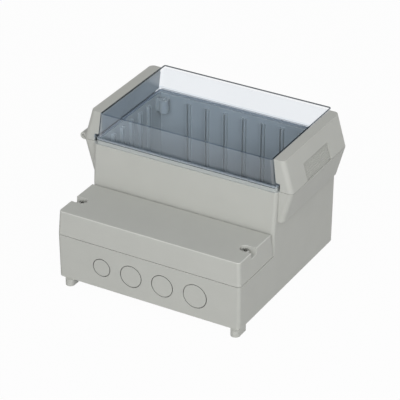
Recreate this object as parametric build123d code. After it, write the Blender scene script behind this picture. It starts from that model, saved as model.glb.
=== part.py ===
from build123d import *
from math import cos, radians, sin, tan
import os

# Wall-mount enclosure, lying on its back as in the photograph.
# Origin: centre of the wall plane. +Z leaves the wall, -Y is the terminal end.

# Base moulding
base_width = 158.8
base_depth = 153.3
base_draft = 0.5
corner_radius = 3.0
wall = 3.2
floor_thickness = 3.0
tray_height = 37.0
lid_seam_height = 90.2
terminal_depth = 51.8
front_lean = 2.9

# How far a cutting shape runs past the face it cuts, or a web into its wall
over = 1.0

# Feet and wall fixings
foot_height = 5.5
foot_width = 7.6
foot_length = 13.2
foot_nose_overhang = 2.7
foot_inset = 9.4
corner_foot_inset = 3.8
fixing_spacing_x = 130.0
fixing_spacing_y = 124.0
fixing_hole_radius = 2.4
fixing_pad_width = 12.0

# Terminal cover
cover_height = 20.5
cover_draft = 3.2
cover_wall = 2.5
cover_rear_lean = 2.6
cover_seam_gap = 0.4
cover_back_gap = 0.3
cover_edge_radius = 0.8
ledge_depth = 3.2
ledge_height = 3.0
notch_radius = 4.2
notch_depth = 5.0
notch_floor = 2.5
screw_inset = 8.0
screw_from_front = 22.6

# Cover screws, inserts and seals
head_radius = 3.3
head_height = 2.6
screw_radius = 1.75
screw_length = 14.0
screw_hole_clearance = 0.35
head_edge = 0.6
cross_length = 4.0
cross_width = 0.9
cross_depth = 1.4
seal_height = 0.8
seal_set_in = 0.1
seal_bore_fit = 0.05
pillar_radius = 4.6
pillar_web_drop = 2.0
screw_tip_room = 6.0
insert_radius = 2.9
insert_length = 9.0
cover_gasket_width = 1.4
cover_gasket_depth = 1.2

# Knockouts: diameter and place across the front
knockout_diameters = (15.5, 19.0, 19.0, 20.6)
knockout_places = (-40.4, -14.4, 13.0, 41.4)
knockout_height = 18.5
knockout_groove = 0.7
knockout_groove_depth = 1.4

# Card guides and board bosses
guide_depth = 2.0
guide_thickness = 1.2
guide_slot = 1.7
guide_below_rim = 1.0
rear_guide_pairs = 7
rear_guide_pitch = 16.85
side_guide_pairs = 5
side_guide_pitch = 13.4
boss_radius = 3.8
boss_hole_radius = 1.25
boss_height = 11.0
boss_hole_depth = 9.0
boss_from_side = 6.6
boss_from_rear = 5.7
boss_web = 3.0

# Gap under the dividing wall, for wires between the two compartments
passage_height = 25.5

# Flared shoulders of the base, under the side caps
shoulder_overhang = 11.3
shoulder_foot_overhang = 4.0
shoulder_height = 26.2
shoulder_set_back = 3.2
shoulder_rear_set_back = 5.3
shoulder_radius = 4.0
shoulder_skin = 2.5
shoulder_land = 0.6
shoulder_pockets = 3
shoulder_rib = 2.5
pocket_depth = 19.0

# Lid window, its flange and skirt
lid_gap = 0.3
skirt_thickness = 1.6
skirt_overhang = 0.4
tongue_gap = 0.25
tongue_height = 2.6
flange_height = 6.6
flange_thickness = 2.0
dome_height = 20.2
dome_side_inset = 3.6
dome_front_inset = 1.0
dome_rear_inset = 0.6
dome_side_slope = 2.3
dome_front_slope = 1.0
dome_rear_slope = 0.2
dome_radius = 2.0
dome_wall = 2.0
dome_edge_radius = 0.8
lid_gasket_width = 1.1
lid_gasket_fit = 0.1
flange_edge = 0.6
sheet_overlap = 0.2

# Side caps of the lid
cap_drop = 0.4
cap_top_overhang = 3.8
cap_wall = 2.2
cap_fit = 0.3
grip_length = 39.5
grip_centre_from_front = 44.4
grip_height = 14.0
grip_depth = 1.0

# Screws that hold the side caps to the window
tab_count = 2
tab_from_end = 10.0
tab_width = 10.0
tab_reach = 6.0
tab_corner = 2.0
tab_hole_clearance = 0.2
tab_screw_offset = 2.6
cap_boss_radius = 2.6
cap_screw_radius = 1.4
cap_screw_clearance = 0.05
cap_screw_length = 9.0
cap_screw_head_radius = 2.5
cap_screw_head_height = 1.8
driver_slot_length = 3.0
driver_slot_width = 0.6
driver_slot_depth = 0.8

# Hinge on the left shoulder
knuckle_radius = 3.0
hinge_offset = 2.2
hinge_drop = 0.2
knuckle_web = 6.0
base_knuckle = 5.5
cap_knuckle = 8.0
knuckle_gap = 0.3
pin_radius = 1.25
pin_running_fit = 0.05
pin_recess = 1.0

# Latch inside the right shoulder
latch_width = 12.0
latch_thickness = 1.6
latch_drop = 9.0
latch_nose = 0.5
latch_nose_height = 2.0
latch_nose_root = 0.1
catch_rise = 1.5
catch_ramp = 1.0
catch_height = 4.0
latch_gap = 0.15
latch_bead = 2.0
latch_from_end = 22.0

# Levels above the wall plane
base_z = foot_height
floor_z = base_z + floor_thickness
tray_z = base_z + tray_height
cover_z = tray_z + cover_height
seam_z = base_z + lid_seam_height
lid_z = seam_z + lid_gap
flange_z = seam_z + flange_height
lid_top_z = flange_z + dome_height
cap_top_z = lid_top_z - cap_drop


def grown(height):
    """Growth of the drafted base on each side at a height above its back."""
    return height * tan(radians(base_draft))


def base_half_width(z):
    return base_width / 2 + grown(z - base_z)


def base_rear(z):
    return base_depth / 2 + grown(z - base_z)


# Places along Y and X that several pieces share
partition_y = -base_depth / 2 + terminal_depth
rim_front = partition_y + front_lean
rim_rear = base_rear(seam_z)
rim_half = base_half_width(seam_z)
shoulder_x = rim_half + shoulder_overhang
shoulder_front = rim_front + shoulder_set_back
shoulder_rear = rim_rear - shoulder_rear_set_back
hinge_x = -(shoulder_x + hinge_offset)
hinge_z = seam_z - hinge_drop
skirt_out = skirt_overhang
skirt_in = skirt_out - skirt_thickness
tongue_out = skirt_in - tongue_gap
screw_x = base_width / 2 - screw_inset
screw_y = -base_depth / 2 + screw_from_front
recess_z = cover_z - notch_depth
pillar_top_z = recess_z - notch_floor
step_z = flange_z + cap_fit / 2


def plan_between(half_width, front, rear, z, radius=0.0):
    """Rectangle at height z, given by its sides, with round corners if asked."""
    size = (2 * half_width, rear - front)
    plan = RectangleRounded(*size, radius) if radius else Rectangle(*size)
    return Pos(0, (front + rear) / 2, z) * plan


def rim_plan(growth, z, radius=corner_radius):
    """Outline of the tall compartment's rim, grown or shrunk all round."""
    return plan_between(rim_half + growth, rim_front - growth, rim_rear + growth, z, radius)


def bar(points, start, end):
    """Prism along Y with a section given as (x, z) points."""
    face = make_face(Polyline(*[(x, start, z) for x, z in points], close=True))
    return extrude(face, amount=end - start, dir=(0, 1, 0))


def side_prism(points, half_width):
    """Prism along X with a section given as (y, z) points."""
    face = make_face(Polyline(*[(-half_width, y, z) for y, z in points], close=True))
    return extrude(face, amount=2 * half_width, dir=(1, 0, 0))


def block(x_range, y_range, z_range):
    """Box between two corners."""
    size = [high - low for low, high in (x_range, y_range, z_range)]
    low = (x_range[0], y_range[0], z_range[0])
    return Pos(*low) * Box(*size, align=(Align.MIN, Align.MIN, Align.MIN))


def leaning_box(half_width, front, rear, low, high, side_gain, front_gain, rear_gain):
    """Box whose faces lean out by the gains at its top, or in if they are negative."""
    top_half = half_width + side_gain
    ends = [(front, low), (front - front_gain, high), (rear + rear_gain, high), (rear, low)]
    sides = [(-half_width, low), (-top_half, high), (top_half, high), (half_width, low)]
    far_front = min(front, front - front_gain)
    far_rear = max(rear, rear + rear_gain)
    return side_prism(ends, max(half_width, top_half)) & bar(sides, far_front, far_rear)


def post(radius, x, y, low, high):
    """Upright cylinder between two heights."""
    bottom = (Align.CENTER, Align.CENTER, Align.MIN)
    return Pos(x, y, low) * Cylinder(radius, high - low, align=bottom)


def rod(radius, start, end):
    """Cylinder on the hinge axis between two places along Y."""
    circle = Plane((hinge_x, start, hinge_z), z_dir=(0, 1, 0)) * Circle(radius)
    return extrude(circle, amount=end - start)


def mirrored(shape):
    return mirror(shape, about=Plane.YZ)


# Base housing


def front_step(set_in, low, top):
    """Space in front of the tall compartment, set back into it by a wall."""
    far = -base_depth
    points = [
        (far, low),
        (partition_y + set_in, low),
        (partition_y + set_in, cover_z),
        (rim_front + set_in, seam_z),
        (rim_front + set_in, top),
        (far, top),
    ]
    return side_prism(points, base_width)


def base_outside():
    """Drafted outside of the base with the terminal end cut low."""
    gain = grown(lid_seam_height)
    half_depth = base_depth / 2
    body = leaning_box(base_width / 2, -half_depth, half_depth, base_z, seam_z, gain, gain, gain)
    body -= front_step(0, tray_z, seam_z + over)
    uprights = body.edges().filter_by(
        lambda e: abs(e.center().X) > base_width / 2 - over and abs(e.tangent_at(0.5).Z) > 0.9
    )
    return fillet(uprights, corner_radius)


def base_inside():
    """The hollow of the two compartments, joined under the wall between them."""
    high = seam_z + wall
    gain = grown(high - floor_z)
    half_depth = base_depth / 2 - wall
    half_width = base_width / 2 - wall
    hollow = leaning_box(half_width, -half_depth, half_depth, floor_z, high, gain, gain, gain)
    main = hollow - front_step(wall, floor_z + passage_height, high + over)
    across = (-base_width, base_width)
    terminal = hollow & block(across, (-base_depth, partition_y), (floor_z, tray_z + over))
    return main, terminal


def tongue():
    """Block inside the skirt of the lid, which the hollow turns into a raised lip."""
    return extrude(rim_plan(tongue_out, seam_z), amount=tongue_height)


def shoulder():
    """Right shoulder: a flare with hollow pockets open to the cap above it."""
    foot_x = base_half_width(seam_z) + shoulder_foot_overhang
    low = seam_z - shoulder_height
    root_x = rim_half - wall / 2
    section = [(root_x, low), (foot_x, low), (shoulder_x, seam_z), (root_x, seam_z)]
    flare = bar(section, shoulder_front, shoulder_rear)
    ends = flare.edges().filter_by(
        lambda e: e.center().X > foot_x and abs(e.tangent_at(0.5).Z) > 0.5
    )
    flare = fillet(ends, shoulder_radius)
    slope = (shoulder_x - foot_x) / shoulder_height
    inner_x = rim_half + shoulder_land
    top_x = shoulder_x - shoulder_skin
    deep_x = top_x - slope * pocket_depth
    pocket_z = seam_z - pocket_depth
    pocket = [(inner_x, pocket_z), (deep_x, pocket_z), (top_x + slope * over, seam_z + over)]
    pocket.append((inner_x, seam_z + over))
    first = shoulder_front + shoulder_skin
    last = shoulder_rear - shoulder_skin
    step = (last - first + shoulder_rib) / shoulder_pockets
    for i in range(shoulder_pockets):
        start = first + i * step
        flare -= bar(pocket, start, start + step - shoulder_rib)
    return flare


def latch_places():
    """The two places of the latch along the shoulder."""
    return (shoulder_front + latch_from_end, shoulder_rear - latch_from_end)


def latch_x():
    """Outer face of the latch tongue."""
    slope = (shoulder_overhang - shoulder_foot_overhang) / shoulder_height
    return shoulder_x - shoulder_skin - slope * latch_drop - latch_nose - latch_gap - latch_nose


def latch_catches():
    """Beads inside the right shoulder that the latch tongues snap past."""
    beads = Part()
    low = seam_z - latch_drop + catch_rise - catch_ramp
    face = latch_x() + latch_nose + latch_gap
    back = face + latch_bead
    section = [(face, low + 2 * catch_ramp), (back, low), (back, low + catch_height)]
    for y in latch_places():
        beads += bar(section, y - latch_width / 2, y + latch_width / 2)
    return beads


def feet():
    """Four feet with round noses towards the ends."""
    right = base_width / 2
    places = (
        (-(right - foot_inset), -1),
        (right - corner_foot_inset, -1),
        (-(right - foot_inset), 1),
        (right - foot_inset, 1),
    )
    pieces = Part()
    for x, end in places:
        nose = end * (base_depth / 2 + foot_nose_overhang - foot_width / 2)
        tail = nose - end * (foot_length - foot_width / 2)
        low, high = min(nose, tail), max(nose, tail)
        reach = (x - foot_width / 2, x + foot_width / 2)
        pieces += block(reach, (low, high), (0, foot_height + over))
        pieces += post(foot_width / 2, x, nose, 0, foot_height)
    return pieces


def fixing_places():
    """Centres of the four wall screws."""
    return [(i * fixing_spacing_x / 2, j * fixing_spacing_y / 2) for i in (-1, 1) for j in (-1, 1)]


def wall_pads():
    """Pads round the wall screws, level with the feet."""
    half = fixing_pad_width / 2
    pads = Part()
    for x, y in fixing_places():
        pads += block((x - half, x + half), (y - half, y + half), (0, base_z + over))
    return pads


def knockout_grooves():
    """Ring grooves, square to the drafted front wall, that leave a thin web."""
    rings = Part()
    z = base_z + knockout_height
    lean = radians(base_draft)
    for x, diameter in zip(knockout_places, knockout_diameters):
        face = Plane((x, -base_rear(z), z), x_dir=(1, 0, 0), z_dir=(0, cos(lean), sin(lean)))
        ring = Circle(diameter / 2) - Circle(diameter / 2 - knockout_groove)
        rings += extrude(face.offset(-over) * ring, amount=over + knockout_groove_depth)
    return rings


def guide_rib(along_x, place, wall_face, inward, low, top):
    """One upright rib on an inner wall."""
    span = sorted((wall_face - inward * wall / 2, wall_face + inward * guide_depth))
    across = (place - guide_thickness / 2, place + guide_thickness / 2)
    if along_x:
        return block(across, span, (low, top))
    return block(span, across, (low, top))


def pair_places(count, pitch, centre):
    """Rib centres of evenly spaced guide pairs."""
    half = (guide_slot + guide_thickness) / 2
    first = centre - pitch * (count - 1) / 2
    return [first + pitch * i + side * half for i in range(count) for side in (-1, 1)]


def card_guides():
    """Pairs of ribs on all four walls of the tall compartment."""
    top = seam_z - guide_below_rim
    low = floor_z - over
    inner_rear = base_depth / 2 - wall
    inner_side = base_width / 2 - wall
    inner_front = partition_y + wall
    ribs = Part()
    for x in pair_places(rear_guide_pairs, rear_guide_pitch, 0):
        ribs += guide_rib(True, x, inner_rear, -1, low, top)
        ribs += guide_rib(True, x, inner_front, 1, floor_z + passage_height, cover_z)
    centre = (inner_front + inner_rear) / 2 + front_lean / 2
    for y in pair_places(side_guide_pairs, side_guide_pitch, centre):
        ribs += guide_rib(False, y, inner_side, -1, low, top)
        ribs += guide_rib(False, y, -inner_side, 1, low, top)
    return ribs


def board_bosses():
    """Round screw bosses in the rear corners, each on webs from the two walls."""
    top = seam_z - lid_gap
    low = top - boss_height
    x = base_half_width(top) - wall - boss_from_side
    y = base_rear(top) - wall - boss_from_rear
    half_web = boss_web / 2
    boss = post(boss_radius, x, y, low, top)
    boss += block((x, x + boss_from_side + over), (y - half_web, y + half_web), (low, top))
    boss += block((x - half_web, x + half_web), (y, y + boss_from_rear + over), (low, top))
    boss -= post(boss_hole_radius, x, y, top - boss_hole_depth, top + over)
    return boss + mirrored(boss)


def screw_pillars():
    """Pillars in the terminal compartment that take the cover screws."""
    low = floor_z - over
    pillar = post(pillar_radius, screw_x, screw_y, low, pillar_top_z)
    far_x = base_width / 2 - wall / 2
    web = (screw_y - boss_web / 2, screw_y + boss_web / 2)
    pillar += block((screw_x, far_x), web, (low, tray_z - pillar_web_drop))
    bore_z = pillar_top_z - insert_length - screw_tip_room
    pillar -= post(insert_radius, screw_x, screw_y, bore_z, pillar_top_z + over)
    return pillar + mirrored(pillar)


def cover_ledge():
    """Ledge on the dividing wall that carries the rear edge of the cover."""
    front = partition_y - ledge_depth
    root = partition_y + wall / 2
    low = tray_z - ledge_height
    section = [(root, low - ledge_depth), (partition_y, low - ledge_depth)]
    section += [(front, low), (front, tray_z), (root, tray_z)]
    return side_prism(section, base_width / 2 - wall / 2)


def gasket_ring(low, high):
    """Ring on the terminal compartment's rim."""
    mid = wall / 2
    grow = cover_gasket_width / 2
    half = base_half_width(tray_z) - mid
    front = -base_rear(tray_z) + mid
    rear = partition_y - mid
    outer = plan_between(half + grow, front - grow, rear + grow, low, corner_radius - mid + grow)
    inner = plan_between(half - grow, front + grow, rear - grow, low)
    return extrude(outer - inner, amount=high - low)


def knuckle(start, length, upper):
    """Hinge knuckle with a web to the shoulder below it or the cap above it."""
    low, high = (lid_z, hinge_z + knuckle_radius) if upper else (hinge_z - knuckle_radius, seam_z)
    barrel = rod(knuckle_radius, start, start + length)
    return barrel + block((hinge_x, hinge_x + knuckle_web), (start, start + length), (low, high))


def hinge_slots():
    """Start and length of the base and cap knuckles of both hinges."""
    set_length = 2 * base_knuckle + cap_knuckle + 2 * knuckle_gap
    first = shoulder_front + shoulder_radius
    last = shoulder_rear - shoulder_radius - set_length
    base_slots, cap_slots = [], []
    for start in (first, last):
        base_slots.append((start, base_knuckle))
        cap_slots.append((start + base_knuckle + knuckle_gap, cap_knuckle))
        base_slots.append((start + base_knuckle + cap_knuckle + 2 * knuckle_gap, base_knuckle))
    return base_slots, cap_slots


def clearance_rods(slots):
    """Space that the other leaf's knuckles turn in."""
    space = Part()
    for start, length in slots:
        space += rod(knuckle_radius + knuckle_gap, start - knuckle_gap, start + length + knuckle_gap)
    return space


def base_housing():
    """The grey base with every feature moulded on it."""
    base_slots, cap_slots = hinge_slots()
    main, terminal = base_inside()
    body = base_outside()
    right = shoulder()
    body += right
    body += mirrored(right)
    body += tongue()
    body -= main
    body -= terminal
    body += latch_catches()
    body += feet()
    body += wall_pads()
    body += card_guides()
    body += board_bosses()
    body += cover_ledge()
    body += screw_pillars()
    body -= clearance_rods(cap_slots)
    for start, length in base_slots:
        body += knuckle(start, length, upper=False)
    body -= rod(pin_radius, shoulder_front, shoulder_rear)
    body -= knockout_grooves()
    body -= gasket_ring(tray_z - cover_gasket_depth, tray_z + over)
    for x, y in fixing_places():
        body -= post(fixing_hole_radius, x, y, -over, floor_z + over)
    return body


# Terminal cover and what fastens it


def cover_outline(set_in, low, high):
    """Drafted block of the cover with its leaning rear face."""
    half = base_half_width(tray_z) - set_in
    front = -base_rear(tray_z) + set_in
    rear = partition_y - cover_back_gap - set_in
    gain = -(high - low) * tan(radians(cover_draft))
    body = leaning_box(half, front, 0, low, high, gain, gain, gain)
    slope = cover_rear_lean / cover_height
    points = [
        (rear - slope * (low - over - tray_z), low - over),
        (rear - slope * (high + over - tray_z), high + over),
        (base_depth, high + over),
        (base_depth, low - over),
    ]
    return body - side_prism(points, base_width)


def notch_space(radius, low):
    """Screw recess, round inside and open to the side."""
    high = cover_z + over
    reach = (screw_x, base_width / 2 + cover_wall)
    across = (screw_y - radius, screw_y + radius)
    return post(radius, screw_x, screw_y, low, high) + block(reach, across, (low, high))


def terminal_cover():
    """Cover shell with two recessed screw seats."""
    low = tray_z + cover_seam_gap
    body = cover_outline(0, low, cover_z)
    uprights = body.edges().filter_by(lambda e: abs(e.tangent_at(0.5).Z) > 0.9)
    body = fillet(uprights.group_by(Axis.Y)[0], corner_radius)
    body = fillet(body.edges().group_by(Axis.Z)[-1], cover_edge_radius)
    body -= cover_outline(cover_wall, low - over, cover_z - cover_wall)
    inside = cover_outline(cover_wall / 2, low, cover_z - cover_wall / 2)
    seat = notch_space(notch_radius + cover_wall, pillar_top_z) & inside
    body += seat + mirrored(seat)
    notch = notch_space(notch_radius, recess_z)
    hole = post(screw_radius + screw_hole_clearance, screw_x, screw_y, low - over, cover_z)
    cut = notch + hole
    return body - cut - mirrored(cut)


def cover_screw():
    """Cheese-head screw with a cross recess."""
    seat = recess_z + seal_height
    top = seat + head_height
    body = post(head_radius, screw_x, screw_y, seat, top)
    body = chamfer(body.edges().group_by(Axis.Z)[-1], head_edge)
    body += post(screw_radius, screw_x, screw_y, seat - screw_length, seat)
    for length, width in ((cross_length, cross_width), (cross_width, cross_length)):
        x_range = (screw_x - length / 2, screw_x + length / 2)
        y_range = (screw_y - width / 2, screw_y + width / 2)
        body -= block(x_range, y_range, (top - cross_depth, top + over))
    return body


def screw_seal():
    """Flat sealing ring under the screw head."""
    high = recess_z + seal_height
    ring = post(head_radius - seal_set_in, screw_x, screw_y, recess_z, high)
    return ring - post(screw_radius + seal_bore_fit, screw_x, screw_y, recess_z - over, high + over)


def cover_insert():
    """Brass insert in the top of a pillar."""
    low = pillar_top_z - insert_length
    body = post(insert_radius, screw_x, screw_y, low, pillar_top_z)
    return body - post(screw_radius, screw_x, screw_y, low - over, pillar_top_z + over)


# Lid: window, gasket, side caps and their screws


def dome(set_in, low, high):
    """Tapered box of the window between two heights, with sharp edges."""
    half = rim_half + skirt_out - dome_side_inset - set_in
    front = rim_front - skirt_out + dome_front_inset + set_in
    rear = rim_rear + skirt_out - dome_rear_inset - set_in
    slopes = (-dome_side_slope, -dome_front_slope, -dome_rear_slope)
    return leaning_box(half, front, rear, low, high, *slopes)


def tab_places():
    """Centres of the cap screws along Y."""
    first = shoulder_front + tab_from_end
    last = shoulder_rear - tab_from_end
    return [first + (last - first) * i / (tab_count - 1) for i in range(tab_count)]


def tab_screw_x():
    return rim_half + skirt_out + tab_screw_offset


def lid_window():
    """Clear window with a flange, a skirt and side tabs for the caps."""
    out = rim_half + skirt_out
    low = flange_z - flange_thickness
    rim = extrude(rim_plan(skirt_out, lid_z, corner_radius + skirt_out), amount=flange_z - lid_z)
    rim = chamfer(rim.edges().group_by(Axis.Z)[-1], flange_edge)
    rim -= extrude(rim_plan(skirt_in, lid_z - over), amount=low - lid_z + over)
    raised = dome(0, flange_z - sheet_overlap, lid_top_z)
    raised = fillet(raised.edges().filter_by(lambda e: abs(e.tangent_at(0.5).Z) > 0.5), dome_radius)
    raised = fillet(raised.edges().group_by(Axis.Z)[-1], dome_edge_radius)
    body = rim + raised
    body -= dome(dome_wall, low - sheet_overlap, lid_top_z - dome_wall)
    for y in tab_places():
        across = (y - tab_width / 2, y + tab_width / 2)
        tab = block((out - sheet_overlap, out + tab_reach), across, (low, flange_z))
        tab = chamfer(tab.edges().filter_by(Axis.Z).sort_by(Axis.X)[-2:], tab_corner)
        tab -= post(cap_screw_radius + tab_hole_clearance, tab_screw_x(), y, low - over, flange_z + over)
        body += tab
        body += mirrored(tab)
    return body


def lid_gasket():
    """Sealing strip under the flange, over the base's raised lip."""
    low = seam_z + tongue_height + lid_gap
    high = flange_z - flange_thickness
    grow = skirt_in - lid_gasket_fit
    return extrude(rim_plan(grow, low) - rim_plan(grow - lid_gasket_width, low, 0.0), amount=high - low)


def cap_outer_x(z):
    """Outer face of a side cap at a height."""
    top_x = rim_half + cap_top_overhang
    return shoulder_x + (top_x - shoulder_x) * (z - lid_z) / (cap_top_z - lid_z)


def cap_inner_x(z):
    """Inner face of a side cap, a fit away from the window."""
    foot = rim_half + skirt_out - dome_side_inset
    return foot - dome_side_slope * (z - flange_z) / dome_height + cap_fit


def cap_block():
    """Solid outside of the right cap."""
    out = rim_half + skirt_out + cap_fit
    section = [
        (shoulder_x, lid_z),
        (cap_outer_x(cap_top_z), cap_top_z),
        (cap_inner_x(cap_top_z), cap_top_z),
        (cap_inner_x(step_z), step_z),
        (out, step_z),
        (out, lid_z),
    ]
    body = bar(section, shoulder_front, shoulder_rear)
    ends = body.edges().filter_by(
        lambda e: e.center().X > cap_outer_x(cap_top_z) and abs(e.tangent_at(0.5).Z) > 0.5
    )
    return fillet(ends, shoulder_radius)


def side_cap():
    """Right cap shell, open below, with screw bosses."""
    outside = cap_block()
    out = rim_half + skirt_out + cap_fit
    low = lid_z - over
    roof = cap_top_z - cap_wall
    shelf = step_z + cap_wall
    hollow = [
        (cap_outer_x(low) - cap_wall, low),
        (cap_outer_x(roof) - cap_wall, roof),
        (cap_inner_x(roof) + cap_wall, roof),
        (cap_inner_x(shelf) + cap_wall, shelf),
        (out, shelf),
        (out, low),
    ]
    body = outside - bar(hollow, shoulder_front + cap_wall, shoulder_rear - cap_wall)
    hole_top = flange_z + cap_screw_length
    for y in tab_places():
        body += post(cap_boss_radius, tab_screw_x(), y, flange_z, cap_top_z) & outside
        body -= post(cap_screw_radius + cap_screw_clearance, tab_screw_x(), y, flange_z - over, hole_top)
    return body


def latch_tongues():
    """Two spring tongues under the right cap with beads on their outer face."""
    tongues = Part()
    outer = latch_x()
    across = (outer - latch_thickness, outer)
    low = seam_z - latch_drop
    root = outer - latch_nose_root
    nose = [(root, low), (root, low + latch_nose_height), (outer + latch_nose, low + latch_nose_height / 2)]
    for y in latch_places():
        span = (y - latch_width / 2, y + latch_width / 2)
        tongues += block(across, span, (low, lid_z))
        tongues += block(across, span, (lid_z, cap_top_z)) & cap_block()
        tongues += bar(nose, *span)
    return tongues


def grip_recess():
    """Shallow recess for the fingers on the slanted face of the right cap."""
    start = shoulder_front + grip_centre_from_front - grip_length / 2
    low = lid_z - over
    high = lid_z + grip_height
    section = [
        (cap_outer_x(low) - grip_depth, low),
        (cap_outer_x(high) - grip_depth, high),
        (cap_outer_x(high) + over, high),
        (cap_outer_x(low) + over, low),
    ]
    return bar(section, start, start + grip_length)


def right_cap():
    return side_cap() + latch_tongues() - grip_recess()


def left_cap():
    """Left cap with the moving knuckles of the hinge."""
    base_slots, cap_slots = hinge_slots()
    body = mirrored(side_cap())
    body -= clearance_rods(base_slots)
    for start, length in cap_slots:
        body += knuckle(start, length, upper=True)
    return body - rod(pin_radius + pin_running_fit, shoulder_front, shoulder_rear)


def cap_screws():
    """Slotted screws up through the window's tabs."""
    low = flange_z - flange_thickness
    head_z = low - cap_screw_head_height
    half_slot = driver_slot_length / 2
    x = tab_screw_x()
    group = []
    for y in tab_places():
        screw = post(cap_screw_head_radius, x, y, head_z, low)
        screw += post(cap_screw_radius, x, y, low, low + cap_screw_length)
        span = (y - driver_slot_width / 2, y + driver_slot_width / 2)
        screw -= block((x - half_slot, x + half_slot), span, (head_z - over, head_z + driver_slot_depth))
        group.append(screw)
    return group


def hinge_pins():
    """Pins pressed into the base knuckles, front then rear."""
    base_slots, _ = hinge_slots()
    pins = []
    for first, last in (base_slots[0:2], base_slots[2:4]):
        start = first[0] + pin_recess
        end = last[0] + last[1] - pin_recess
        pins.append(rod(pin_radius, start, end))
    return pins


def solids_of(shape):
    """Flat list of the solids in a shape or a list of shapes."""
    shapes = shape if isinstance(shape, list) else [shape]
    return [solid for item in shapes for solid in item.solids()]


def write(node, shape):
    solids = solids_of(shape)
    piece = solids[0] if len(solids) == 1 else Compound(children=solids)
    piece.label = node
    export_step(piece, f"parts/{node}.step")


def main():
    os.makedirs("parts", exist_ok=True)
    write("base_housing", base_housing())
    write("terminal_cover", terminal_cover())
    write("cover_gasket", gasket_ring(tray_z - cover_gasket_depth, tray_z + cover_seam_gap))
    for side, place in (("right", lambda s: s), ("left", mirrored)):
        write(f"cover_screw_{side}", place(cover_screw()))
        write(f"screw_seal_{side}", place(screw_seal()))
        write(f"cover_insert_{side}", place(cover_insert()))
        write(f"cap_screws_{side}", [place(screw) for screw in cap_screws()])
    front_pin, rear_pin = hinge_pins()
    write("hinge_pin_front", front_pin)
    write("hinge_pin_rear", rear_pin)
    write("lid_window", lid_window())
    write("lid_gasket", lid_gasket())
    write("left_cap", left_cap())
    write("right_cap", right_cap())


main()
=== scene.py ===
from math import hypot, radians

import bmesh
import bpy
from mathutils import Matrix, Vector


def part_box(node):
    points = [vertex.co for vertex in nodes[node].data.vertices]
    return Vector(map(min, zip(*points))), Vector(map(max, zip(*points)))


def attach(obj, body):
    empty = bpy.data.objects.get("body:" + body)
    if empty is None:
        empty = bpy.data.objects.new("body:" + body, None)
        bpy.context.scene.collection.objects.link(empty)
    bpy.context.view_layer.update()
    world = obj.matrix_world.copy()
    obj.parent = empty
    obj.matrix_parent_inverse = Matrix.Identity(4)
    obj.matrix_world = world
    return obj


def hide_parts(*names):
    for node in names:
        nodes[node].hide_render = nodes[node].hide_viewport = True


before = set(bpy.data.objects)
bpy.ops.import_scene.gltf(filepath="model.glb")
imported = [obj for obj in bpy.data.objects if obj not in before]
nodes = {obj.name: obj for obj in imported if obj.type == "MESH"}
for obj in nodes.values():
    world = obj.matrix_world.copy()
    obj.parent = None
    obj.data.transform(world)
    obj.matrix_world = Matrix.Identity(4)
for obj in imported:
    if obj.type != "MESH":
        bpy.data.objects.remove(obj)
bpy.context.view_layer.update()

# Camera, in metres in the part's frame
CAMERA_EYE = Vector((0.7264, -1.2673, 0.8910))
CAMERA_TARGET = Vector((-0.00073, 0.00480, 0.05436))
CAMERA_LENS = 195.88
CAMERA_CLIP = 20.0
SENSOR_WIDTH = 36.0

# Lamps, each as its name, place, size in metres and power in watts
LAMP_AIM = Vector((0.0, 0.0, 0.06))
LAMPS = (
    ("front_lamp", (0.35, -1.80, 1.05), 1.1, 18.4),
    ("corner_lamp", (1.35, -1.25, 1.10), 1.1, 15.5),
    ("side_lamp", (1.45, -0.40, 1.55), 1.1, 1.5),
    ("rear_lamp", (0.45, 1.90, 0.30), 0.5, 8.0),
)

# Surroundings and floor
WHITE = (1.0, 1.0, 1.0, 1.0)
WORLD_LEVEL = 0.28
FLOOR_SIZE = 6.0
FLOOR_COLOUR = (0.48, 0.48, 0.48, 1.0)
FLOOR_ROUGHNESS = 0.9
FLOOR_WHITE = 0.97

# Colour runs from the dark to the light one between these two values of a noise
RAMP_ENDS = (0.3, 0.7)

# Housing plastic
HOUSING_COLOUR = (0.505, 0.512, 0.480, 1.0)
HOUSING_SHADE = (0.490, 0.497, 0.466, 1.0)
HOUSING_ROUGHNESS = 0.52
HOUSING_IOR = 1.46
ROUGHNESS_SPREAD = 0.06
# Painted highlight: the rounded upper edges of the terminal cover are drawn in a lighter colour, standing in
# for the light they catch; their lower roughness is real gloss
EDGE_HIGHLIGHT_COLOUR = (0.590, 0.597, 0.564, 1.0)
EDGE_HIGHLIGHT_DARK = (0.565, 0.572, 0.541, 1.0)
EDGE_HIGHLIGHT_ROUGHNESS = 0.36
# Painted shade: the knurled pad is the housing plastic drawn darker, standing in for the shade between its
# studs
KNURL_SHADED_COLOUR = (0.415, 0.422, 0.393, 1.0)
KNURL_SHADED_DARK = (0.395, 0.402, 0.374, 1.0)
# Painted shade: a much darker plastic in the knockout grooves and along the front and top border of the
# knurled pad, standing in for the shade in these grooves and in the recess's corner
GROOVE_SHADE_COLOUR = (0.230, 0.232, 0.220, 1.0)
GRAIN_SIZE = 0.0009
MOTTLE_SIZE = 0.020

# Seals and metals, each as its darker and its lighter colour
BLACK_SEAL = ((0.010, 0.010, 0.011, 1.0), (0.020, 0.020, 0.022, 1.0))
GREY_SEAL = ((0.40, 0.41, 0.40, 1.0), (0.46, 0.47, 0.46, 1.0))
ZINC = ((0.42, 0.42, 0.41, 1.0), (0.60, 0.60, 0.58, 1.0))
# Painted shade: a darker copy of the zinc on the cover screws' top and driver recess, so that their bare
# chamfer reads as a bright rim
SCREW_SHADE_COLOURS = ((0.200, 0.200, 0.188, 1.0), (0.400, 0.400, 0.380, 1.0))
BRASS_COLOURS = ((0.50, 0.36, 0.14, 1.0), (0.68, 0.50, 0.22, 1.0))

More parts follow.
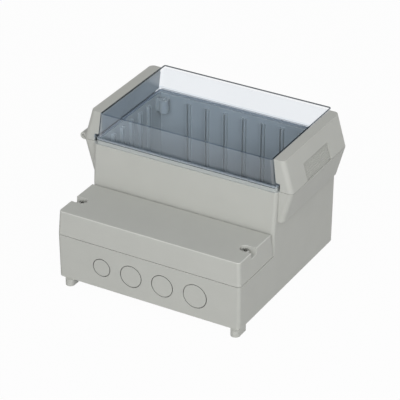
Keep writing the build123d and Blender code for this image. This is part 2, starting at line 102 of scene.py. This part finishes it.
# Clear lid: colours and tints
CLEAR_COLOUR = (0.945, 0.960, 0.976, 1.0)
FRONT_COLOUR = (0.895, 0.948, 0.998, 1.0)
FOLD_COLOUR = (0.82, 0.86, 0.90, 1.0)
# Painted shade: bluish-grey tint on the front top edge, standing in for the line that edge shows
FRONT_EDGE_SHADE_COLOUR = (0.48, 0.55, 0.66, 1.0)
# Painted shade: near-black tint on the top edges and on strips along the left and rear of the top, standing
# in for the dark look of the plastic seen edge-on
EDGE_SHADE_COLOUR = (0.022, 0.026, 0.031, 1.0)
# Painted shade: dark tint on a thin band round the outer skirt and on a line at the front-left corner,
# standing in for the shade in the gaps there
SEAM_SHADE_COLOUR = (0.16, 0.18, 0.20, 1.0)
LIGHT_THROUGH_LID = (0.740, 0.818, 0.922, 1.0)
LIGHT_THROUGH_SIDES = (0.96, 0.975, 0.99, 1.0)
CLEAR_IOR = 1.02
CLEAR_MOTTLE = 0.985
CLEAR_ROUGHNESS = (0.015, 0.035)
CLEAR_GLOSS = 0.1
SIDE_GLOSS = 0.5
LINE_GLOSS = 0.2
FULL_GLOSS = 1.0
COAT_ROUGHNESS = 0.03
PLAIN_COAT_IOR = 1.5
FRONT_COAT_IOR = 1.56
CORNER_COAT_IOR = 2.2

# Clear lid: where its finishes change, in metres
FOOT_STRIP = 0.0009
RIM_HEIGHT = 0.0063
FLANGE_HEIGHT = 0.0020
SEAM_LINE = 0.0007
FOOT_HALF_WIDTH = 0.076987
SIDE_LEAN = (0.0202, 0.0023)
CORNER_LINE = 0.0017
CORNER_GLINT = 0.0036
TOP_EDGE = 0.0009
SIDE_STRIP = 0.0014
REAR_STRIP = 0.0019
FRONT_DEPTH = 0.006
OUTER_SKIN = 0.0003
LEVEL_SLACK = 0.00005

# Share of a face's normal along an axis, to pick faces by how they face
LEVEL = 0.98
FACING = 0.9
SCREW_TOP = 0.95
# Tilt of the cover faces that get the painted edge highlight
HIGHLIGHT_TILT = (0.15, 0.97)
GROOVE_SIDE = 0.6
WALL_TILT = 0.5
UPRIGHT = 0.3
TURNED = 0.15
TILTED = 0.1

# Knurled pad in the finger recess of the right cap
KNURL_PLACE = (0.088620, 0.02565, 0.103041)
KNURL_SIZE = (0.0387, 0.0138)
KNURL_CELLS = (18, 7)
KNURL_INSET = 0.00045
KNURL_RISE = 0.00030
KNURL_THICKNESS = 0.00020
KNURL_BORDER = 0.0007
KNURL_LEAN = (0.961, 0.276)

# Knockout rings in the front wall, each as its centre across and its diameter
KNOCKOUTS = ((-0.0404, 0.0155), (-0.0144, 0.0190), (0.0130, 0.0190), (0.0414, 0.0206))
KNOCKOUT_HEIGHT = 0.0240
KNOCKOUT_GROOVE = 0.0007
FRONT_PLANE = 0.0766
FRONT_LEAN = 0.002
GROOVE_DEPTH = 0.0014
GROOVE_SLACK = 0.0003
RING_SLACK = 0.0002
FRONT_WALL_TOP = 0.045

# Cover screws: how far below the top the painted shade goes
SCREW_HEAD = 0.0015
SCREW_FACE = 0.0003

# Rounding of moulded edges, and the face areas in square metres that pick them
EDGE_ROUNDING = 0.0003
COVER_ROUNDING = 0.0004
WALL_AREA = 0.00004
COVER_SMALLEST = 0.0000008
BASE_SMALLEST = 0.0000025
CAP_SMALLEST = 0.0001
# Largest face that counts as part of a rounded cover edge with the painted highlight
HIGHLIGHT_AREA = 0.00015

# Meshes: where an edge counts as sharp, two points as one and two faces as flat
SHARP_ANGLE = radians(28)
SAME_PLACE = 0.000002
FLAT_ANGLE = radians(0.5)


def select_only(piece):
    """Make one object the only selected and active one."""
    bpy.ops.object.select_all(action="DESELECT")
    piece.select_set(True)
    bpy.context.view_layer.objects.active = piece


# Shader node groups


def new_group(name, inputs, outputs):
    """Empty shader group with its sockets and its two end nodes."""
    group = bpy.data.node_groups.new(name, "ShaderNodeTree")
    for label, kind, value in inputs:
        socket = group.interface.new_socket(name=label, in_out="INPUT", socket_type=kind)
        socket.default_value = value
    for label, kind in outputs:
        group.interface.new_socket(name=label, in_out="OUTPUT", socket_type=kind)
    start = group.nodes.new("NodeGroupInput")
    end = group.nodes.new("NodeGroupOutput")
    return group, start, end


def moulded_grain_group():
    """Fine spark-eroded grain and a wide, faint mottle of a moulded surface."""
    inputs = (
        ("Vector", "NodeSocketVector", (0.0, 0.0, 0.0)),
        ("Grain Scale", "NodeSocketFloat", 1000.0),
        ("Mottle Scale", "NodeSocketFloat", 50.0),
    )
    outputs = (("Grain", "NodeSocketFloat"), ("Mottle", "NodeSocketFloat"))
    group, start, end = new_group("moulded_grain", inputs, outputs)
    link = group.links.new
    grain = group.nodes.new("ShaderNodeTexNoise")
    grain.inputs["Detail"].default_value = 2.0
    grain.inputs["Roughness"].default_value = 0.6
    mottle = group.nodes.new("ShaderNodeTexNoise")
    mottle.inputs["Detail"].default_value = 3.0
    link(start.outputs["Vector"], grain.inputs["Vector"])
    link(start.outputs["Grain Scale"], grain.inputs["Scale"])
    link(start.outputs["Vector"], mottle.inputs["Vector"])
    link(start.outputs["Mottle Scale"], mottle.inputs["Scale"])
    link(grain.outputs["Fac"], end.inputs["Grain"])
    link(mottle.outputs["Fac"], end.inputs["Mottle"])
    return group


def turned_rings_group():
    """Fine rings round an upright axis, as a lathe leaves on a screw or insert."""
    inputs = (("Vector", "NodeSocketVector", (0.0, 0.0, 0.0)), ("Ring Scale", "NodeSocketFloat", 3000.0))
    outputs = (("Rings", "NodeSocketFloat"),)
    group, start, end = new_group("turned_rings", inputs, outputs)
    link = group.links.new
    waves = group.nodes.new("ShaderNodeTexWave")
    waves.wave_type = "RINGS"
    waves.rings_direction = "Z"
    waves.inputs["Distortion"].default_value = 1.5
    waves.inputs["Detail"].default_value = 2.0
    link(start.outputs["Vector"], waves.inputs["Vector"])
    link(start.outputs["Ring Scale"], waves.inputs["Scale"])
    link(waves.outputs["Fac"], end.inputs["Rings"])
    return group


MOULDED_GRAIN = moulded_grain_group()
TURNED_RINGS = turned_rings_group()


def new_material(name):
    """Node material with its Principled shader."""
    material = bpy.data.materials.new(name)
    material.use_nodes = True
    shader = material.node_tree.nodes["Principled BSDF"]
    return material, material.node_tree, shader


def placed_group(tree, group, **values):
    """A group in a material, reading Object coordinates."""
    where = tree.nodes.new("ShaderNodeTexCoord")
    node = tree.nodes.new("ShaderNodeGroup")
    node.node_tree = group
    tree.links.new(where.outputs["Object"], node.inputs["Vector"])
    for label, value in values.items():
        node.inputs[label.replace("_", " ")].default_value = value
    return node


def two_colours(tree, factor, first, second):
    """Colour that runs between two with a factor."""
    ramp = tree.nodes.new("ShaderNodeValToRGB")
    for stop, position, colour in zip(ramp.color_ramp.elements, RAMP_ENDS, (first, second)):
        stop.position = position
        stop.color = colour
    tree.links.new(factor, ramp.inputs["Fac"])
    return ramp.outputs["Color"]


def value_range(tree, factor, low, high):
    """Factor from 0 to 1 mapped to a range."""
    node = tree.nodes.new("ShaderNodeMapRange")
    node.inputs["To Min"].default_value = low
    node.inputs["To Max"].default_value = high
    tree.links.new(factor, node.inputs["Value"])
    return node.outputs["Result"]


def bumped(tree, shader, height, strength, distance):
    """Height as a bump on the shader."""
    bump = tree.nodes.new("ShaderNodeBump")
    bump.inputs["Strength"].default_value = strength
    bump.inputs["Distance"].default_value = distance
    tree.links.new(height, bump.inputs["Height"])
    tree.links.new(bump.outputs["Normal"], shader.inputs["Normal"])


def calculated(tree, operation, first, second):
    """Output of a maths node that works on an output and on another one or a number."""
    node = tree.nodes.new("ShaderNodeMath")
    node.operation = operation
    tree.links.new(first, node.inputs[0])
    if isinstance(second, float):
        node.inputs[1].default_value = second
    else:
        tree.links.new(second, node.inputs[1])
    return node.outputs["Value"]


def mixed(tree, factor, first, second):
    """Two shaders mixed by a factor."""
    mix = tree.nodes.new("ShaderNodeMixShader")
    tree.links.new(factor, mix.inputs["Fac"])
    tree.links.new(first, mix.inputs[1])
    tree.links.new(second, mix.inputs[2])
    return mix.outputs["Shader"]


def let_light_through(tree, shader, tint):
    """Lamps shine through the clear plastic, tinted, instead of being stopped by it."""
    path = tree.nodes.new("ShaderNodeLightPath")
    lighting = calculated(tree, "MAXIMUM", path.outputs["Is Shadow Ray"], path.outputs["Is Diffuse Ray"])
    clear = tree.nodes.new("ShaderNodeBsdfTransparent")
    clear.inputs["Color"].default_value = tint
    surface = mixed(tree, lighting, shader.outputs["BSDF"], clear.outputs["BSDF"])
    tree.links.new(surface, tree.nodes["Material Output"].inputs["Surface"])


# Materials


def housing_plastic(name, dark, light, roughness=HOUSING_ROUGHNESS):
    """Light warm-grey moulded plastic with a fine satin grain."""
    material, tree, shader = new_material(name)
    surface = placed_group(tree, MOULDED_GRAIN, Grain_Scale=1 / GRAIN_SIZE, Mottle_Scale=1 / MOTTLE_SIZE)
    colour = two_colours(tree, surface.outputs["Mottle"], dark, light)
    low = roughness - ROUGHNESS_SPREAD
    high = roughness + ROUGHNESS_SPREAD
    tree.links.new(colour, shader.inputs["Base Color"])
    tree.links.new(value_range(tree, surface.outputs["Grain"], low, high), shader.inputs["Roughness"])
    shader.inputs["IOR"].default_value = HOUSING_IOR
    bumped(tree, shader, surface.outputs["Grain"], strength=0.25, distance=0.00008)
    return material


def clear_plastic(name, tint, light, gloss, coat_ior=PLAIN_COAT_IOR):
    """Clear polycarbonate with a faint cold tint and moulding waviness."""
    material, tree, shader = new_material(name)
    surface = placed_group(tree, MOULDED_GRAIN, Grain_Scale=60.0, Mottle_Scale=18.0)
    shade = tuple(level * CLEAR_MOTTLE for level in tint[:3]) + (1.0,)
    colour = two_colours(tree, surface.outputs["Mottle"], shade, tint)
    roughness = value_range(tree, surface.outputs["Mottle"], *CLEAR_ROUGHNESS)
    tree.links.new(colour, shader.inputs["Base Color"])
    tree.links.new(roughness, shader.inputs["Roughness"])
    shader.inputs["Transmission Weight"].default_value = 1.0
    shader.inputs["IOR"].default_value = CLEAR_IOR
    shader.inputs["Coat Weight"].default_value = gloss
    shader.inputs["Coat Roughness"].default_value = COAT_ROUGHNESS
    shader.inputs["Coat IOR"].default_value = coat_ior
    bumped(tree, shader, surface.outputs["Grain"], strength=0.05, distance=0.0002)
    let_light_through(tree, shader, light)
    return material


def seal_rubber(name, dark, light):
    """Moulded sealing rubber with a dull, grained skin."""
    material, tree, shader = new_material(name)
    surface = placed_group(tree, MOULDED_GRAIN, Grain_Scale=2500.0, Mottle_Scale=300.0)
    colour = two_colours(tree, surface.outputs["Mottle"], dark, light)
    tree.links.new(colour, shader.inputs["Base Color"])
    roughness = value_range(tree, surface.outputs["Grain"], low=0.6, high=0.8)
    tree.links.new(roughness, shader.inputs["Roughness"])
    bumped(tree, shader, surface.outputs["Grain"], strength=0.3, distance=0.00005)
    return material


def turned_metal(name, dark, light, roughness):
    """Turned metal with fine rings and a faint stain."""
    material, tree, shader = new_material(name)
    surface = placed_group(tree, MOULDED_GRAIN, Grain_Scale=4000.0, Mottle_Scale=700.0)
    rings = placed_group(tree, TURNED_RINGS, Ring_Scale=3500.0)
    colour = two_colours(tree, surface.outputs["Mottle"], dark, light)
    tree.links.new(colour, shader.inputs["Base Color"])
    worn = value_range(tree, surface.outputs["Grain"], low=roughness - 0.05, high=roughness + 0.08)
    tree.links.new(worn, shader.inputs["Roughness"])
    shader.inputs["Metallic"].default_value = 1.0
    bumped(tree, shader, rings.outputs["Rings"], strength=0.2, distance=0.00003)
    return material


HOUSING = housing_plastic("housing_plastic", HOUSING_SHADE, HOUSING_COLOUR)
# Lighter, glossier copy of the housing plastic: a painted highlight on the cover's rounded edges
EDGE_HIGHLIGHT = housing_plastic("edge_highlight_plastic", EDGE_HIGHLIGHT_DARK, EDGE_HIGHLIGHT_COLOUR, EDGE_HIGHLIGHT_ROUGHNESS)
# Darker copy of the housing plastic for the knurled pad: painted shade between its studs
KNURL_SHADED = housing_plastic("knurl_shaded_plastic", KNURL_SHADED_DARK, KNURL_SHADED_COLOUR)
# Much darker copy of the housing plastic: painted shade in grooves and in the recess's corner
GROOVE_SHADED = housing_plastic("groove_shaded_plastic", GROOVE_SHADE_COLOUR, KNURL_SHADED_DARK)
CLEAR = clear_plastic("clear_plastic", CLEAR_COLOUR, LIGHT_THROUGH_LID, CLEAR_GLOSS)
CLEAR_FRONT = clear_plastic(
    "clear_plastic_front", FRONT_COLOUR, LIGHT_THROUGH_LID, FULL_GLOSS, FRONT_COAT_IOR
)
CLEAR_SIDE = clear_plastic("clear_plastic_side", CLEAR_COLOUR, LIGHT_THROUGH_SIDES, SIDE_GLOSS)
CLEAR_FOLD = clear_plastic("clear_plastic_fold", FOLD_COLOUR, LIGHT_THROUGH_LID, LINE_GLOSS)
# Bluish-grey clear plastic: painted line on the lid's front top edge
CLEAR_FRONT_EDGE_SHADE = clear_plastic("clear_plastic_front_edge_shade", FRONT_EDGE_SHADE_COLOUR, LIGHT_THROUGH_LID, LINE_GLOSS)
CLEAR_CORNER = clear_plastic(
    "clear_plastic_corner", CLEAR_COLOUR, LIGHT_THROUGH_SIDES, FULL_GLOSS, CORNER_COAT_IOR
)
# Near-black clear plastic: painted dark lines along the lid's top edges
CLEAR_EDGE_SHADE = clear_plastic("clear_plastic_edge_shade", EDGE_SHADE_COLOUR, LIGHT_THROUGH_SIDES, LINE_GLOSS)
# Dark clear plastic: painted shade of the seam and corner gaps
CLEAR_SEAM_SHADE = clear_plastic("clear_plastic_seam_shade", SEAM_SHADE_COLOUR, LIGHT_THROUGH_SIDES, LINE_GLOSS)
SEAL = seal_rubber("black_seal", *BLACK_SEAL)
PALE_SEAL = seal_rubber("pale_seal", *GREY_SEAL)
STEEL = turned_metal("zinc_steel", *ZINC, roughness=0.34)
# Darker copy of the zinc steel: painted shade on the cover screws' heads
SHADED_STEEL = turned_metal("shaded_steel", *SCREW_SHADE_COLOURS, roughness=0.36)
BRASS = turned_metal("turned_brass", *BRASS_COLOURS, roughness=0.30)

NODE_MATERIALS = {
    "base_housing": HOUSING,
    "terminal_cover": HOUSING,
    "left_cap": HOUSING,
    "right_cap": HOUSING,
    "lid_window": CLEAR,
    "cover_gasket": SEAL,
    "lid_gasket": PALE_SEAL,
    "screw_seal_left": SEAL,
    "screw_seal_right": SEAL,
    "cover_screw_left": STEEL,
    "cover_screw_right": STEEL,
    "cap_screws_left": STEEL,
    "cap_screws_right": STEEL,
    "hinge_pin_front": STEEL,
    "hinge_pin_rear": STEEL,
    "cover_insert_left": BRASS,
    "cover_insert_right": BRASS,
}


def paint_nodes():
    """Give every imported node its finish."""
    for name, material in NODE_MATERIALS.items():
        piece = nodes[name]
        for slot in piece.material_slots:
            slot.material = material
        if not piece.material_slots:
            piece.data.materials.append(material)


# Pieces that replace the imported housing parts


def merged_copy(node, name, material, dissolve=True):
    """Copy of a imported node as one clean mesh, ready to model on."""
    piece = bpy.data.objects.new(name, nodes[node].data.copy())
    bpy.context.scene.collection.objects.link(piece)
    piece.data.materials.clear()
    piece.data.materials.append(material)
    select_only(piece)
    bpy.ops.mesh.customdata_custom_splitnormals_clear()
    bpy.ops.object.mode_set(mode="EDIT")
    bpy.ops.mesh.select_all(action="SELECT")
    bpy.ops.mesh.remove_doubles(threshold=SAME_PLACE)
    if dissolve:
        bpy.ops.mesh.dissolve_limited(angle_limit=FLAT_ANGLE)
    bpy.ops.object.mode_set(mode="OBJECT")
    return piece


def round_edges(piece, radius, smallest):
    """Bevel the outer edges between a wall and any face over the smallest area."""
    select_only(piece)
    bpy.ops.object.mode_set(mode="EDIT")
    bpy.ops.mesh.select_mode(type="EDGE")
    bpy.ops.mesh.select_all(action="DESELECT")
    mesh = bmesh.from_edit_mesh(piece.data)
    for edge in mesh.edges:
        if len(edge.link_faces) == 2 and edge.calc_face_angle_signed() > SHARP_ANGLE:
            small, large = sorted(face.calc_area() for face in edge.link_faces)
            edge.select_set(small > smallest and large > WALL_AREA)
    bmesh.update_edit_mesh(piece.data)
    bpy.ops.mesh.bevel(offset=radius, segments=2, profile=0.5, affect="EDGES")
    bpy.ops.object.mode_set(mode="OBJECT")


def finish_piece(piece, body, node):
    """Smooth shading, and the node and body that the piece stands for."""
    select_only(piece)
    bpy.ops.object.shade_smooth_by_angle(angle=SHARP_ANGLE)
    bpy.ops.object.modifier_add(type="WEIGHTED_NORMAL")
    piece.modifiers[-1].keep_sharp = True
    bpy.ops.object.modifier_apply(modifier=piece.modifiers[-1].name)
    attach(piece, body)
    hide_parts(node)


def in_groove(face):
    """Whether a face of the base lies in one of the knockout rings."""
    centre = face.center
    if centre.z > FRONT_WALL_TOP or centre.y > FRONT_LEAN - FRONT_PLANE + GROOVE_DEPTH:
        return False
    if face.normal.y < -FACING:
        reach = face.normal.dot(centre)
        return FRONT_PLANE - GROOVE_DEPTH - GROOVE_SLACK < reach < FRONT_PLANE - GROOVE_SLACK
    for across, diameter in KNOCKOUTS:
        from_centre = hypot(centre.x - across, centre.z - KNOCKOUT_HEIGHT)
        outside = diameter / 2 + RING_SLACK
        inside = diameter / 2 - KNOCKOUT_GROOVE - RING_SLACK
        if inside < from_centre < outside and abs(face.normal.y) < GROOVE_SIDE:
            return True
    return False


def on_highlighted_edge(face):
    """Whether a face of the terminal cover is part of a rounded upper edge, which gets the painted
    highlight.
    """
    low, high = HIGHLIGHT_TILT
    return face.area < HIGHLIGHT_AREA and low < face.normal.z < high


def second_finish(piece, material, chosen):
    """Give a piece another material on the faces that a test picks."""
    piece.data.materials.append(material)
    for face in piece.data.polygons:
        if chosen(face):
            face.material_index = 1


def grey_part(node, body, radius, smallest):
    """Housing part with its moulded edges rounded."""
    piece = merged_copy(node, node + "_moulding", HOUSING)
    round_edges(piece, radius, smallest)
    # Faces in the knockout grooves get the darker plastic as painted shade
    if node == "base_housing":
        second_finish(piece, GROOVE_SHADED, in_groove)
    # The cover's rounded upper edges get the painted highlight
    if node == "terminal_cover":
        second_finish(piece, EDGE_HIGHLIGHT, on_highlighted_edge)
    finish_piece(piece, body, node)


def cover_screw(node):
    """Cover screw with painted shade on its top and the upright faces near its top, such as the driver
    recess, so that its bare edge reads bright.
    """
    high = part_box(node)[1]

    def dark(face):
        flat_top = face.normal.z > SCREW_TOP and face.center.z > high.z - SCREW_FACE
        side = abs(face.normal.z) < UPRIGHT and face.center.z > high.z - SCREW_HEAD
        return flat_top or side

    piece = merged_copy(node, node + "_turned", STEEL)
    # Top and upright faces near it get the painted shade
    second_finish(piece, SHADED_STEEL, dark)
    finish_piece(piece, "base", node)


def cut_across(piece, place, direction):
    """Cut a piece's faces where a plane crosses them, with nothing removed."""
    select_only(piece)
    bpy.ops.object.mode_set(mode="EDIT")
    bpy.ops.mesh.select_all(action="SELECT")
    bpy.ops.mesh.bisect(plane_co=place, plane_no=direction, use_fill=False)
    bpy.ops.object.mode_set(mode="OBJECT")


WINDOW_FINISHES = (
    CLEAR,
    CLEAR_FRONT,
    CLEAR_SIDE,
    CLEAR_EDGE_SHADE,
    CLEAR_SEAM_SHADE,
    CLEAR_FOLD,
    CLEAR_FRONT_EDGE_SHADE,
    CLEAR_CORNER,
)


def window_foot_finish(face, low, high):
    """Finish of a face of the window's foot and skirt."""
    depth = low.z + RIM_HEIGHT - face.center.z
    outer = face.center.y < low.y + OUTER_SKIN or face.center.y > high.y - OUTER_SKIN
    # Thin band on the outer skirt: painted shade of the seam
    if outer and FLANGE_HEIGHT < depth < FLANGE_HEIGHT + SEAM_LINE:
        return CLEAR_SEAM_SHADE
    return CLEAR_FOLD if depth < FLANGE_HEIGHT else CLEAR_SIDE


def window_finish(face, low, high, strip_x, strip_y):
    """Finish of one face of the window, by where it is and how it faces."""
    centre = face.center
    normal = face.normal
    rim_top = low.z + RIM_HEIGHT
    if centre.z < rim_top + LEVEL_SLACK:
        return window_foot_finish(face, low, high)
    front = centre.y < low.y + FRONT_DEPTH
    # Top edge fillets: painted lines, bluish-grey at the front and near-black elsewhere
    if centre.z > high.z - TOP_EDGE and TILTED < normal.z < LEVEL:
        return CLEAR_FRONT_EDGE_SHADE if front else CLEAR_EDGE_SHADE
    if front and abs(normal.z) < UPRIGHT:
        rise, lean = SIDE_LEAN
        from_corner = centre.x + FOOT_HALF_WIDTH - (centre.z - rim_top) * lean / rise
        # Line at the front-left corner: painted shade of the gap beside it
        if from_corner < CORNER_LINE and normal.y < -TURNED:
            return CLEAR_SEAM_SHADE
        turned = TURNED < abs(normal.x) < LEVEL and abs(normal.y) > TURNED
        if turned or (from_corner < CORNER_GLINT and normal.y < 0.0):
            return CLEAR_CORNER
    if front and normal.y < -FACING and centre.z < rim_top + FOOT_STRIP:
        return CLEAR_FOLD
    # Strips along the left and rear of the top: painted dark lines
    if normal.z > LEVEL and (centre.x < strip_x or centre.y > strip_y):
        return CLEAR_EDGE_SHADE
    if front and abs(normal.y) > FACING:
        return CLEAR_FRONT
    if abs(normal.z) < WALL_TILT:
        return CLEAR_SIDE
    return CLEAR


def window_part():
    """Clear window with painted dark lines on its top edges, its skirt seam and its front-left corner,
    standing in for the shade there and for the dark look of the plastic seen edge-on.
    """
    piece = merged_copy("lid_window", "lid_window_moulding", CLEAR, dissolve=False)
    low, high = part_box("lid_window")
    top = [vertex.co for vertex in piece.data.vertices if vertex.co.z > high.z - SAME_PLACE]
    strip_x = min(place.x for place in top) + SIDE_STRIP
    strip_y = max(place.y for place in top) - REAR_STRIP
    cut_across(piece, (strip_x, 0.0, 0.0), (1.0, 0.0, 0.0))
    cut_across(piece, (0.0, strip_y, 0.0), (0.0, 1.0, 0.0))
    rim_top = low.z + RIM_HEIGHT
    for height in (rim_top + FOOT_STRIP, rim_top - FLANGE_HEIGHT, rim_top - FLANGE_HEIGHT - SEAM_LINE):
        cut_across(piece, (0.0, 0.0, height), (0.0, 0.0, 1.0))
    rise, lean = SIDE_LEAN
    for inset in (CORNER_LINE, CORNER_GLINT):
        cut_across(piece, (inset - FOOT_HALF_WIDTH, 0.0, rim_top), (rise, 0.0, -lean))
    piece.data.materials.clear()
    for finish in WINDOW_FINISHES:
        piece.data.materials.append(finish)
    for face in piece.data.polygons:
        finish = window_finish(face, low, high, strip_x, strip_y)
        face.material_index = WINDOW_FINISHES.index(finish)
    finish_piece(piece, "lid", "lid_window")


def knurled_pad():
    """Pad of small raised studs on the floor of the finger recess."""
    lean_out, lean_up = KNURL_LEAN
    turn = Matrix(((0.0, -lean_up, lean_out), (1.0, 0.0, 0.0), (0.0, lean_out, lean_up)))
    bpy.ops.object.select_all(action="DESELECT")
    across, along = KNURL_CELLS
    bpy.ops.mesh.primitive_grid_add(
        x_subdivisions=across, y_subdivisions=along, size=1.0, location=KNURL_PLACE, rotation=turn.to_euler()
    )
    pad = bpy.context.object
    pad.name = "knurled_pad"
    pad.scale = (KNURL_SIZE[0], KNURL_SIZE[1], 1.0)
    bpy.ops.object.transform_apply(location=True, rotation=True, scale=True)
    bpy.ops.object.mode_set(mode="EDIT")
    bpy.ops.mesh.select_all(action="SELECT")
    bpy.ops.mesh.inset(thickness=KNURL_BORDER)
    bpy.ops.mesh.inset(thickness=KNURL_INSET, depth=KNURL_RISE, use_individual=True)
    bpy.ops.object.mode_set(mode="OBJECT")
    bpy.ops.object.modifier_add(type="SOLIDIFY")
    pad.modifiers[-1].thickness = KNURL_THICKNESS
    pad.modifiers[-1].offset = -1.0
    bpy.ops.object.modifier_apply(modifier=pad.modifiers[-1].name)
    corners = [vertex.co for vertex in pad.data.vertices]
    front = min(place.y for place in corners)
    top = max(place.z for place in corners)

    # Border faces at the front and top of the pad get the darkest plastic, as painted shade in the recess's
    # corner
    def at_border(face):
        return face.center.y < front + KNURL_BORDER or face.center.z > top - KNURL_BORDER

    # The studs are drawn in the darker plastic as painted shade
    pad.data.materials.append(KNURL_SHADED)
    second_finish(pad, GROOVE_SHADED, at_border)
    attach(pad, "lid")


# Camera, lamps and floor


def add_camera():
    """Long lens at the photograph's viewing angle."""
    bpy.ops.object.camera_add(location=CAMERA_EYE)
    camera = bpy.context.object
    camera.name = "photo_camera"
    towards = CAMERA_TARGET - CAMERA_EYE
    camera.rotation_euler = towards.to_track_quat("-Z", "Y").to_euler()
    camera.data.sensor_width = SENSOR_WIDTH
    camera.data.lens = CAMERA_LENS
    camera.data.clip_end = CAMERA_CLIP
    bpy.context.scene.camera = camera


def add_lamp(name, place, size, power):
    """Square soft lamp pointed at the middle of the enclosure."""
    bpy.ops.object.light_add(type="AREA", location=place)
    lamp = bpy.context.object
    lamp.name = name
    lamp.data.shape = "SQUARE"
    lamp.data.size = size
    lamp.data.energy = power
    towards = LAMP_AIM - Vector(place)
    lamp.rotation_euler = towards.to_track_quat("-Z", "Y").to_euler()


def white_to_camera(tree, shaded, share):
    """Mix that shows camera, mirror and glass rays a share of plain white."""
    path = tree.nodes.new("ShaderNodeLightPath")
    seen = calculated(tree, "MAXIMUM", path.outputs["Is Camera Ray"], path.outputs["Is Glossy Ray"])
    through = calculated(tree, "MAXIMUM", seen, path.outputs["Is Transmission Ray"])
    direct = calculated(tree, "LESS_THAN", path.outputs["Diffuse Depth"], 0.5)
    plain = calculated(tree, "MULTIPLY", through, direct)
    white = tree.nodes.new("ShaderNodeEmission")
    white.inputs["Color"].default_value = WHITE
    white.inputs["Strength"].default_value = 1.0
    return mixed(tree, calculated(tree, "MULTIPLY", plain, share), shaded, white.outputs["Emission"])


def add_floor():
    """Plain pale floor under the enclosure."""
    bpy.ops.mesh.primitive_plane_add(size=FLOOR_SIZE, location=(0.0, 0.0, 0.0))
    floor = bpy.context.object
    floor.name = "studio_floor"
    material, tree, shader = new_material("pale_floor")
    shader.inputs["Base Color"].default_value = FLOOR_COLOUR
    shader.inputs["Roughness"].default_value = FLOOR_ROUGHNESS
    output = tree.nodes["Material Output"]
    surface = white_to_camera(tree, shader.outputs["BSDF"], FLOOR_WHITE)
    tree.links.new(surface, output.inputs["Surface"])
    floor.data.materials.append(material)


def add_world():
    """Even pale surroundings that look white to the camera."""
    world = bpy.data.worlds.new("studio")
    bpy.context.scene.world = world
    world.use_nodes = True
    tree = world.node_tree
    around = tree.nodes["Background"]
    around.inputs["Color"].default_value = WHITE
    around.inputs["Strength"].default_value = WORLD_LEVEL
    output = tree.nodes["World Output"]
    surface = white_to_camera(tree, around.outputs["Background"], 1.0)
    tree.links.new(surface, output.inputs["Surface"])


paint_nodes()
grey_part("terminal_cover", "base", COVER_ROUNDING, COVER_SMALLEST)
grey_part("base_housing", "base", EDGE_ROUNDING, BASE_SMALLEST)
grey_part("left_cap", "lid", EDGE_ROUNDING, CAP_SMALLEST)
grey_part("right_cap", "lid", EDGE_ROUNDING, CAP_SMALLEST)
window_part()
knurled_pad()
cover_screw("cover_screw_left")
cover_screw("cover_screw_right")
add_camera()
add_floor()
add_world()
for lamp in LAMPS:
    add_lamp(*lamp)

bpy.context.scene.view_settings.view_transform = "Standard"
